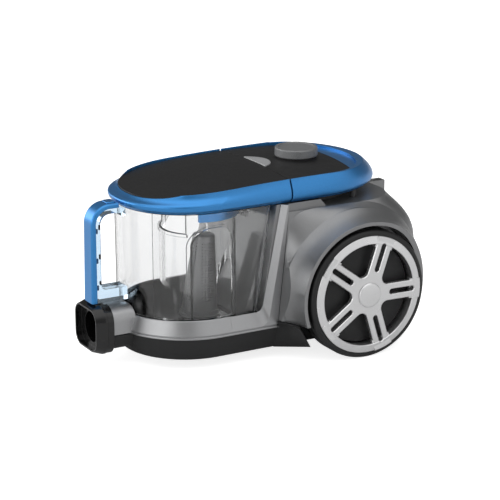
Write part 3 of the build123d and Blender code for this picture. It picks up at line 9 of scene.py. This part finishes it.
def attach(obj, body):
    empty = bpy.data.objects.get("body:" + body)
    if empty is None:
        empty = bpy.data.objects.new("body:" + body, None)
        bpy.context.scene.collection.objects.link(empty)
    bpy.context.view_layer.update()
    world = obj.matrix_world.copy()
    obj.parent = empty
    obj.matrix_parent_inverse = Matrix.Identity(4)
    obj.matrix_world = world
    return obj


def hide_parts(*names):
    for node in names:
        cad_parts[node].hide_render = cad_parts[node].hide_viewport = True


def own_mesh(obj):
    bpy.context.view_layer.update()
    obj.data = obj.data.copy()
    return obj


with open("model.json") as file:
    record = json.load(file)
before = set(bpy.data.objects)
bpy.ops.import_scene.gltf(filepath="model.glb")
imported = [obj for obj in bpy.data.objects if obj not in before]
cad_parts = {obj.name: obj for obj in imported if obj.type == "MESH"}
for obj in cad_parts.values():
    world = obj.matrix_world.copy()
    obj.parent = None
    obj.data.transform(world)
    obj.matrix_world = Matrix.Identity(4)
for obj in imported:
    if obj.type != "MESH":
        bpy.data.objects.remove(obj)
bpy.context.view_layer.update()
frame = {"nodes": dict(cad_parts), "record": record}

scene = bpy.context.scene
nodes = frame["nodes"]

# ------------------------------------------------------------------ shader helpers
def new_mat(name):
    m = bpy.data.materials.new(name)
    m.use_nodes = True
    m.node_tree.nodes.clear()
    out = m.node_tree.nodes.new("ShaderNodeOutputMaterial")
    b = m.node_tree.nodes.new("ShaderNodeBsdfPrincipled")
    m.node_tree.links.new(b.outputs["BSDF"], out.inputs["Surface"])
    return m, m.node_tree, b


def coords(t, scale=1.0):
    tc = t.nodes.new("ShaderNodeTexCoord")
    if scale == 1.0:
        return tc.outputs["Object"]
    mp = t.nodes.new("ShaderNodeMapping")
    mp.inputs["Scale"].default_value = scale if hasattr(scale, "__len__") else (scale,) * 3
    t.links.new(tc.outputs["Object"], mp.inputs["Vector"])
    return mp.outputs["Vector"]


def noise(t, vec, scale, detail=3.0, rough=0.5):
    n = t.nodes.new("ShaderNodeTexNoise")
    n.inputs["Scale"].default_value = scale
    n.inputs["Detail"].default_value = detail
    n.inputs["Roughness"].default_value = rough
    t.links.new(vec, n.inputs["Vector"])
    return n.outputs["Fac"]


def ramp(t, fac, stops):
    r = t.nodes.new("ShaderNodeValToRGB")
    el = r.color_ramp.elements
    while len(el) > 1:
        el.remove(el[-1])
    for i, (p, c) in enumerate(stops):
        e = el[0] if i == 0 else el.new(p)
        e.position = p
        e.color = (*c, 1.0) if len(c) == 3 else c
    t.links.new(fac, r.inputs["Fac"])
    return r.outputs["Color"]


def map_range(t, fac, a, b, c, d):
    m = t.nodes.new("ShaderNodeMapRange")
    for i, v in enumerate((a, b, c, d)):
        m.inputs[i + 1].default_value = v
    t.links.new(fac, m.inputs[0])
    return m.outputs[0]


def bump(t, height, strength, distance, normal=None):
    b = t.nodes.new("ShaderNodeBump")
    b.inputs["Strength"].default_value = strength
    b.inputs["Distance"].default_value = distance
    t.links.new(height, b.inputs["Height"])
    if normal is not None:
        t.links.new(normal, b.inputs["Normal"])
    return b.outputs["Normal"]


def shade(c, k):
    return tuple(max(0.0, min(1.0, x * k)) for x in c)


def plastic(name, col, rough=0.4, metallic=0.0, coat=0.0, coat_rough=0.1, var=0.10, grain=900.0,
            grain_depth=0.00004, grain_strength=0.25, rough_var=0.08, spec=0.5, fleck=0.0, fleck_scale=1500.0, edge=0.0):
    """Moulded plastic: slow colour drift, fine grain, roughness that wanders and, if asked, metallic fleck and softened edges."""
    m, t, b = new_mat(name)
    vec = coords(t)
    drift = noise(t, vec, 14.0, 4.0, 0.55)
    base = ramp(t, drift, [(0.30, shade(col, 1 - var)), (0.70, shade(col, 1 + var))])
    if fleck > 0:
        v = t.nodes.new("ShaderNodeTexVoronoi")
        v.inputs["Scale"].default_value = fleck_scale
        t.links.new(vec, v.inputs["Vector"])
        sep = t.nodes.new("ShaderNodeSeparateColor")
        t.links.new(v.outputs["Color"], sep.inputs["Color"])
        amt = map_range(t, sep.outputs[0], 0.0, 1.0, 1 - fleck, 1 + fleck)
        mul = t.nodes.new("ShaderNodeVectorMath")
        mul.operation = "SCALE"
        t.links.new(base, mul.inputs[0])
        t.links.new(amt, mul.inputs["Scale"])
        base = mul.outputs["Vector"]
    t.links.new(base, b.inputs["Base Color"])
    t.links.new(map_range(t, noise(t, vec, 60.0, 5.0, 0.6), 0.25, 0.75, max(0.02, rough - rough_var), min(1.0, rough + rough_var)),
                b.inputs["Roughness"])
    b.inputs["Metallic"].default_value = metallic
    b.inputs["Specular IOR Level"].default_value = spec
    if coat > 0:
        b.inputs["Coat Weight"].default_value = coat
        b.inputs["Coat Roughness"].default_value = coat_rough
    nrm = None
    if edge > 0:
        bv = t.nodes.new("ShaderNodeBevel")
        bv.samples = 4
        bv.inputs["Radius"].default_value = edge
        nrm = bv.outputs["Normal"]
    if grain_strength > 0:
        nrm = bump(t, noise(t, vec, grain, 2.0, 0.6), grain_strength, grain_depth, nrm)
    if nrm is not None:
        t.links.new(nrm, b.inputs["Normal"])
    return m


def clear(name, col, rough=0.02, ior=1.46, var=0.02):
    """Polished see-through plastic with faint haze and flow lines."""
    m, t, b = new_mat(name)
    vec = coords(t)
    t.links.new(ramp(t, noise(t, vec, 9.0, 3.0), [(0.3, shade(col, 1 - var)), (0.7, shade(col, 1 + var))]), b.inputs["Base Color"])
    t.links.new(map_range(t, noise(t, vec, 45.0, 4.0, 0.6), 0.3, 0.7, rough, rough + 0.02), b.inputs["Roughness"])
    b.inputs["Transmission Weight"].default_value = 1.0
    b.inputs["IOR"].default_value = ior
    return m


def metal(name, col, rough=0.3, stretch=(1, 1, 1), line_scale=400.0, var=0.12, bump_depth=0.00002):
    """Turned or drawn metal with fine lines along the work direction."""
    m, t, b = new_mat(name)
    vec = coords(t, stretch)
    lines = noise(t, vec, line_scale, 4.0, 0.65)
    t.links.new(ramp(t, lines, [(0.3, shade(col, 1 - var)), (0.7, shade(col, 1 + var))]), b.inputs["Base Color"])
    t.links.new(map_range(t, lines, 0.25, 0.75, rough - 0.07, rough + 0.1), b.inputs["Roughness"])
    b.inputs["Metallic"].default_value = 1.0
    t.links.new(bump(t, lines, 0.3, bump_depth), b.inputs["Normal"])
    return m


def foam(name, col, scale=700.0):
    m, t, b = new_mat(name)
    vec = coords(t)
    v = t.nodes.new("ShaderNodeTexVoronoi")
    v.inputs["Scale"].default_value = scale
    t.links.new(vec, v.inputs["Vector"])
    # colour darker in the middle of each cell, where the bump sinks it: painted shade in the foam's pores
    t.links.new(ramp(t, v.outputs["Distance"], [(0.1, shade(col, 0.35)), (0.6, shade(col, 1.25))]), b.inputs["Base Color"])
    b.inputs["Roughness"].default_value = 0.95
    t.links.new(bump(t, v.outputs["Distance"], 0.8, 0.0006), b.inputs["Normal"])
    return m


def pleats(name, col, pitch=0.004):
    """Pleated paper: folds across Y."""
    m, t, b = new_mat(name)
    vec = coords(t)
    w = t.nodes.new("ShaderNodeTexWave")
    w.wave_type = "BANDS"
    w.bands_direction = "Y"
    w.wave_profile = "TRI"
    w.inputs["Scale"].default_value = 0.314 / pitch
    t.links.new(vec, w.inputs["Vector"])
    # colour darker towards one set of fold lines: painted shade in the fold valleys
    t.links.new(ramp(t, w.outputs["Fac"], [(0.0, shade(col, 0.55)), (1.0, shade(col, 1.05))]), b.inputs["Base Color"])
    b.inputs["Roughness"].default_value = 0.9
    t.links.new(bump(t, w.outputs["Fac"], 0.9, 0.0025), b.inputs["Normal"])
    return m


# ------------------------------------------------------------------ materials
M = {}
M["ring_blue"] = plastic("ring_blue", (0.042, 0.250, 0.600), rough=0.36, metallic=0.85, coat=0.35, coat_rough=0.16, var=0.03,
                         grain=1400.0, grain_depth=0.00002, grain_strength=0.10, rough_var=0.03, fleck=0.06, fleck_scale=2600.0, edge=0.0009)
M["body_grey"] = plastic("body_grey", (0.265, 0.267, 0.271), rough=0.40, metallic=0.85, coat=0.12, coat_rough=0.25, var=0.04,
                         grain=1400.0, grain_depth=0.00002, grain_strength=0.10, rough_var=0.04, fleck=0.05, fleck_scale=2600.0, edge=0.0008)
M["band_silver"] = plastic("band_silver", (0.38, 0.383, 0.39), rough=0.34, metallic=0.9, coat=0.1, coat_rough=0.25, var=0.03,
                           grain=1400.0, grain_depth=0.00002, grain_strength=0.10, rough_var=0.04, fleck=0.05, fleck_scale=2600.0, edge=0.0008)
M["rim_silver"] = plastic("rim_silver", (0.74, 0.74, 0.745), rough=0.30, metallic=0.95, coat=0.1, coat_rough=0.2, var=0.03,
                          grain=1600.0, grain_depth=0.00002, grain_strength=0.08, rough_var=0.04, fleck=0.03, fleck_scale=2200.0, edge=0.0008)
M["base_charcoal"] = plastic("base_charcoal", (0.020, 0.0202, 0.0208), rough=0.45, var=0.08, grain=1100.0, grain_depth=0.00005, grain_strength=0.30, spec=0.28, edge=0.0008)
M["panel_black"] = plastic("panel_black", (0.0110, 0.0110, 0.0113), rough=0.50, var=0.08, grain=1500.0, grain_depth=0.00004, grain_strength=0.25, spec=0.30, edge=0.0004)
M["port_black"] = plastic("port_black", (0.004, 0.004, 0.0042), rough=0.16, var=0.08, grain=900.0, grain_strength=0.04, rough_var=0.04, spec=0.5, edge=0.0007)
M["tray_black"] = plastic("tray_black", (0.004, 0.004, 0.0044), rough=0.12, var=0.08, grain=900.0, grain_strength=0.05, rough_var=0.04, spec=0.28, edge=0.0006)
M["clear_cup"] = clear("clear_cup", (0.945, 0.948, 0.950))
M["clear_handle"] = clear("clear_handle", (0.62, 0.78, 0.92))
M["clip_dark"] = plastic("clip_dark", (0.012, 0.06, 0.15), rough=0.4, var=0.1)
M["dial_grey"] = plastic("dial_grey", (0.19, 0.194, 0.198), rough=0.40, metallic=0.35, var=0.05, grain=1300.0, grain_depth=0.00005,
                         grain_strength=0.35, fleck=0.14, fleck_scale=1700.0, edge=0.0006)
M["button_grey"] = plastic("button_grey", (0.36, 0.364, 0.37), rough=0.42, metallic=0.25, var=0.05, grain=1300.0, grain_depth=0.00005,
                           grain_strength=0.35, fleck=0.12, fleck_scale=1700.0, edge=0.0005)
M["cone_grey"] = plastic("cone_grey", (0.26, 0.262, 0.266), rough=0.36, metallic=0.55, var=0.05, grain=1300.0, grain_strength=0.12)
M["tyre_rubber"] = plastic("tyre_rubber", (0.0085, 0.0085, 0.0088), rough=0.44, var=0.10, grain=700.0, grain_depth=0.00006, grain_strength=0.30, spec=0.4, edge=0.0006)
M["disc_dark"] = plastic("disc_dark", (0.016, 0.016, 0.0165), rough=0.5, var=0.1, grain=900.0, grain_depth=0.00006, grain_strength=0.3, spec=0.35)
M["axle_steel"] = metal("axle_steel", (0.55, 0.56, 0.57), rough=0.28, stretch=(1, 0.05, 1))
M["screw_steel"] = metal("screw_steel", (0.50, 0.49, 0.46), rough=0.35)
M["spring_steel"] = metal("spring_steel", (0.50, 0.51, 0.53), rough=0.25)
M["caster_black"] = plastic("caster_black", (0.016, 0.016, 0.017), rough=0.5, var=0.1, grain=900.0, grain_depth=0.00006, grain_strength=0.3)
M["roller_rubber"] = plastic("roller_rubber", (0.03, 0.03, 0.031), rough=0.7, var=0.15, grain=600.0, grain_depth=0.0001, grain_strength=0.4)
M["seal_rubber"] = plastic("seal_rubber", (0.02, 0.02, 0.022), rough=0.65, var=0.12, grain=600.0, grain_depth=0.00008, grain_strength=0.3)
M["mount_rubber"] = plastic("mount_rubber", (0.018, 0.018, 0.018), rough=0.75, var=0.15, grain=500.0, grain_depth=0.0001, grain_strength=0.4)
M["plenum_grey"] = plastic("plenum_grey", (0.09, 0.09, 0.095), rough=0.55, var=0.08)
M["filter_foam"] = foam("filter_foam", (0.10, 0.10, 0.11))
M["filter_pleat"] = pleats("filter_pleat", (0.78, 0.79, 0.77))
M["grille_dark"] = plastic("grille_dark", (0.03, 0.03, 0.032), rough=0.45, var=0.1, grain=1100.0, grain_depth=0.00005, grain_strength=0.3)
M["motor_steel"] = metal("motor_steel", (0.50, 0.50, 0.51), rough=0.34)
M["stator_iron"] = metal("stator_iron", (0.22, 0.20, 0.18), rough=0.45, stretch=(12, 1, 1), line_scale=120.0, var=0.3, bump_depth=0.0002)
M["rotor_steel"] = metal("rotor_steel", (0.60, 0.58, 0.55), rough=0.30)
M["reel_grey"] = plastic("reel_grey", (0.13, 0.13, 0.135), rough=0.5, var=0.08)
M["board_green"] = plastic("board_green", (0.012, 0.09, 0.035), rough=0.4, var=0.15, grain=300.0, grain_depth=0.0001, grain_strength=0.3)
M["pot_black"] = plastic("pot_black", (0.02, 0.02, 0.02), rough=0.45, var=0.1)
M["deck_dark"] = plastic("deck_dark", (0.05, 0.05, 0.052), rough=0.5, var=0.08)

slot_of = {s["node"]: s["material_slot"] for s in frame["record"]["subparts"]}
for n, o in nodes.items():
    m = M[slot_of[n]]
    o.data.materials.clear()
    o.data.materials.append(m)


# ------------------------------------------------------------------ shading of the CAD nodes
def smooth(o, deg):
    for p in o.data.polygons:
        p.use_smooth = True
    o.data.set_sharp_from_angle(angle=math.radians(deg))


for n, o in nodes.items():
    smooth(o, 15 if n == "rear_housing" else 28)

# ------------------------------------------------------------------ perforated filter cone
def cone_piece():
    """Thin cone with four fields of small through holes, closed at the top."""
    org = Vector((-0.056, 0.0, 0.0398))
    ax = Vector((0.068, 0.0, 0.99769))
    ex, ey = Vector((0.99769, 0.0, -0.068)), Vector((0.0, 1.0, 0.0))
    wall, pitch, row, hole = 0.0014, 0.0036, 0.00347, 0.00098
    h0, rows = 0.021, 20

    def rad(h):
        return 0.0208 - (h - 0.00805) * (0.0080 / 0.08795)

    def at(r, h, t):
        return org + ax * h + (ex * math.cos(t) + ey * math.sin(t)) * r

    def lines(h):
        """Angles of the grid lines round the cone at h: 6 per field and 2 in each plain strip between fields."""
        out, half = [], 2.5 * pitch / rad(h)
        for g in range(4):
            c = g * math.pi / 2
            out += [c + (k - 2.5) * pitch / rad(h) for k in range(6)]
            gap = math.pi / 2 - 2 * half
            out += [c + half + gap / 3, c + half + 2 * gap / 3]
        return out

    bm = bmesh.new()
    heights = [0.00805, 0.0115, 0.0155] + [h0 + (j - 0.5) * row for j in range(rows + 1)] + [0.0915, 0.0946]
    first = 3
    skins = []
    for inset in (0.0, wall):
        grid = [[bm.verts.new(at(rad(h) - inset, h, t)) for t in lines(h)] for h in heights]
        skins.append(grid)
    n = len(skins[0][0])

    def quad(vs, flip):
        bm.faces.new(vs[::-1] if flip else vs)

    for i in range(len(heights) - 1):
        for k in range(n):
            k2 = (k + 1) % n
            holed = first <= i < first + rows and k % 8 < 5
            if not holed:
                for s_i, grid in enumerate(skins):
                    quad([grid[i][k], grid[i][k2], grid[i + 1][k2], grid[i + 1][k]], s_i == 1)
                continue
            hc = h0 + (i - first) * row
            tc = (k // 8) * math.pi / 2 + (k % 8 - 2) * pitch / rad(hc)
            octs = []
            for inset in (0.0, wall):
                r = rad(hc) - inset
                octs.append([bm.verts.new(at(rad(hc + hole * math.sin(a)) - inset, hc + hole * math.sin(a), tc + hole * math.cos(a) / rad(hc)))
                             for a in (math.radians(-112.5 + 45 * q) for q in range(8))])
            for s_i, grid in enumerate(skins):
                c = [grid[i][k], grid[i][k2], grid[i + 1][k2], grid[i + 1][k]]
                o = octs[s_i]
                for q in range(4):
                    quad([c[q], c[(q + 1) % 4], o[(2 * q + 1) % 8], o[2 * q]], s_i == 1)
                    quad([c[q], o[2 * q], o[(2 * q - 1) % 8]], s_i == 1)
            for q in range(8):
                bm.faces.new([octs[0][q], octs[0][(q + 1) % 8], octs[1][(q + 1) % 8], octs[1][q]])
    # rim at the foot, rounded closed top
    for k in range(n):
        k2 = (k + 1) % n
        bm.faces.new([skins[0][0][k2], skins[0][0][k], skins[1][0][k], skins[1][0][k2]])
    for s_i, prof in enumerate(([(0.0125, 0.0954), (0.0118, 0.0959), (0.0090, 0.0960), (0.0045, 0.0960)], [(0.0105, 0.0946), (0.0050, 0.0946)])):
        last = skins[s_i][-1]
        ang = lines(heights[-1])
        for r, h in prof:
            nxt = [bm.verts.new(at(r, h, t)) for t in ang]
            for k in range(n):
                k2 = (k + 1) % n
                quad([last[k], last[k2], nxt[k2], nxt[k]], s_i == 1)
            last = nxt
        mid = bm.verts.new(at(0.0, prof[-1][1], 0.0))
        for k in range(n):
            quad([last[k], last[(k + 1) % n], mid], s_i == 1)
    me = bpy.data.meshes.new("filter_cone_perforated")
    bm.normal_update()
    bm.to_mesh(me)
    bm.free()
    ob = bpy.data.objects.new("filter_cone_perforated", me)
    scene.collection.objects.link(ob)
    me.materials.append(M["cone_grey"])
    smooth(ob, 35)
    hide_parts("filter_cone")
    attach(ob, "cup")
    return ob


cone_piece()


# ------------------------------------------------------------------ coil under the rewind button
def coil_piece():
    """Coil spring in the place of the CAD one."""
    cx, z0, height, pitch, r, wire = 0.028, 0.1878, 0.0214, 0.00428, 0.0064, 0.0006
    steps, sides = 180, 8
    bm = bmesh.new()
    loops = []
    for i in range(steps + 1):
        a = 2 * math.pi * (height / pitch) * i / steps
        n = Vector((math.cos(a), math.sin(a), 0.0))
        tan = Vector((-r * math.sin(a), r * math.cos(a), pitch / (2 * math.pi))).normalized()
        b = tan.cross(n)
        mid = Vector((cx, 0.0, z0 + height * i / steps)) + n * r
        loops.append([bm.verts.new(mid + n * (wire * math.cos(w)) + b * (wire * math.sin(w)))
                      for w in (2 * math.pi * k / sides for k in range(sides))])
    for i in range(steps):
        for k in range(sides):
            k2 = (k + 1) % sides
            bm.faces.new([loops[i][k], loops[i][k2], loops[i + 1][k2], loops[i + 1][k]])
    bm.faces.new(loops[0][::-1])
    bm.faces.new(loops[-1])
    bmesh.ops.recalc_face_normals(bm, faces=bm.faces)
    me = bpy.data.meshes.new("rewind_coil")
    bm.to_mesh(me)
    bm.free()
    ob = bpy.data.objects.new("rewind_coil", me)
    scene.collection.objects.link(ob)
    me.materials.append(M["spring_steel"])
    smooth(ob, 40)
    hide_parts("rewind_spring")
    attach(ob, "chassis")
    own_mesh(ob)
    return ob


coil_piece()

# ------------------------------------------------------------------ floor, light, camera
bm = bmesh.new()
bmesh.ops.create_grid(bm, x_segments=4, y_segments=4, size=9.0)
fm = bpy.data.meshes.new("floor")
bm.to_mesh(fm)
bm.free()
floor = bpy.data.objects.new("floor", fm)
scene.collection.objects.link(floor)
floor.location = (0, 0, -0.0004)
fmat, ft, fb = new_mat("floor_white")
ft.links.new(ramp(ft, noise(ft, coords(ft), 3.0, 2.0), [(0.3, (0.74, 0.74, 0.74)), (0.7, (0.76, 0.76, 0.76))]), fb.inputs["Base Color"])
fb.inputs["Roughness"].default_value = 0.9
fb.inputs["Specular IOR Level"].default_value = 0.0
fb.inputs["Emission Color"].default_value = (1, 1, 1, 1)
# the floor glows for the eye, and less so through clear plastic, like a back-lit table, and stays pale grey in reflections
lp = ft.nodes.new("ShaderNodeLightPath")
seen = ft.nodes.new("ShaderNodeMath")
seen.operation = "MAXIMUM"
ft.links.new(map_range(ft, lp.outputs["Is Camera Ray"], 0.0, 1.0, 0.0, 0.80), seen.inputs[0])
ft.links.new(map_range(ft, lp.outputs["Is Transmission Ray"], 0.0, 1.0, 0.0, 0.40), seen.inputs[1])
ft.links.new(seen.outputs[0], fb.inputs["Emission Strength"])
fm.materials.append(fmat)

world = bpy.data.worlds.new("studio")
scene.world = world
world.use_nodes = True
wt = world.node_tree
wt.nodes.clear()
wo = wt.nodes.new("ShaderNodeOutputWorld")
bg = wt.nodes.new("ShaderNodeBackground")
wt.links.new(bg.outputs[0], wo.inputs[0])
bg.inputs["Color"].default_value = (1, 1, 1, 1)
wdir = wt.nodes.new("ShaderNodeTexCoord").outputs["Generated"]
# soft boxes of the studio as smooth patches of sky: direction, cosine where a patch fades out, cosine where it is full, strength
PATCHES = (((-0.70, 0.71, 0.10), 0.80, 0.97, 3.0),
           ((0.47, -0.88, 0.20), 0.55, 0.92, 0.72),
           ((-0.92, -0.34, 0.12), 0.84, 0.98, 1.7),
           ((-0.15, -0.10, 0.98), 0.50, 0.95, 1.3))
total = None
for d, c0, c1, k in PATCHES:
    dp = wt.nodes.new("ShaderNodeVectorMath")
    dp.operation = "DOT_PRODUCT"
    dp.inputs[1].default_value = Vector(d).normalized()
    wt.links.new(wdir, dp.inputs[0])
    mr = wt.nodes.new("ShaderNodeMapRange")
    mr.interpolation_type = "SMOOTHSTEP"
    for i, v in enumerate((c0, c1, 0.0 if total else 0.13, k)):
        mr.inputs[i + 1].default_value = v
    wt.links.new(dp.outputs["Value"], mr.inputs[0])
    if total is None:
        total = mr.outputs[0]
    else:
        ad = wt.nodes.new("ShaderNodeMath")
        ad.operation = "ADD"
        wt.links.new(total, ad.inputs[0])
        wt.links.new(mr.outputs[0], ad.inputs[1])
        total = ad.outputs[0]
# beyond the floor's edge the studio is as pale as the floor
wl = wt.nodes.new("ShaderNodeLightPath")
pale = wt.nodes.new("ShaderNodeMath")
pale.operation = "MAXIMUM"
wt.links.new(total, pale.inputs[0])
wt.links.new(wl.outputs["Is Camera Ray"], pale.inputs[1])
wt.links.new(pale.outputs[0], bg.inputs["Strength"])

cam_d = bpy.data.cameras.new("camera")
cam_d.sensor_width = 36.0
cam_d.lens = 137.25
cam_d.clip_start, cam_d.clip_end = 0.05, 60.0
cam = bpy.data.objects.new("camera", cam_d)
scene.collection.objects.link(cam)
az, el, dist = math.radians(-29.35), math.radians(16.69), 2.2406
target = Vector((0.012, 0.0, 0.10712))
back = Vector((math.sin(az) * math.cos(el), -math.cos(az) * math.cos(el), math.sin(el)))
cam.location = target + back * dist
cam.rotation_euler = (-back).to_track_quat("-Z", "Y").to_euler()
scene.camera = cam
scene.view_settings.view_transform = "Standard"
scene.view_settings.look = "None"
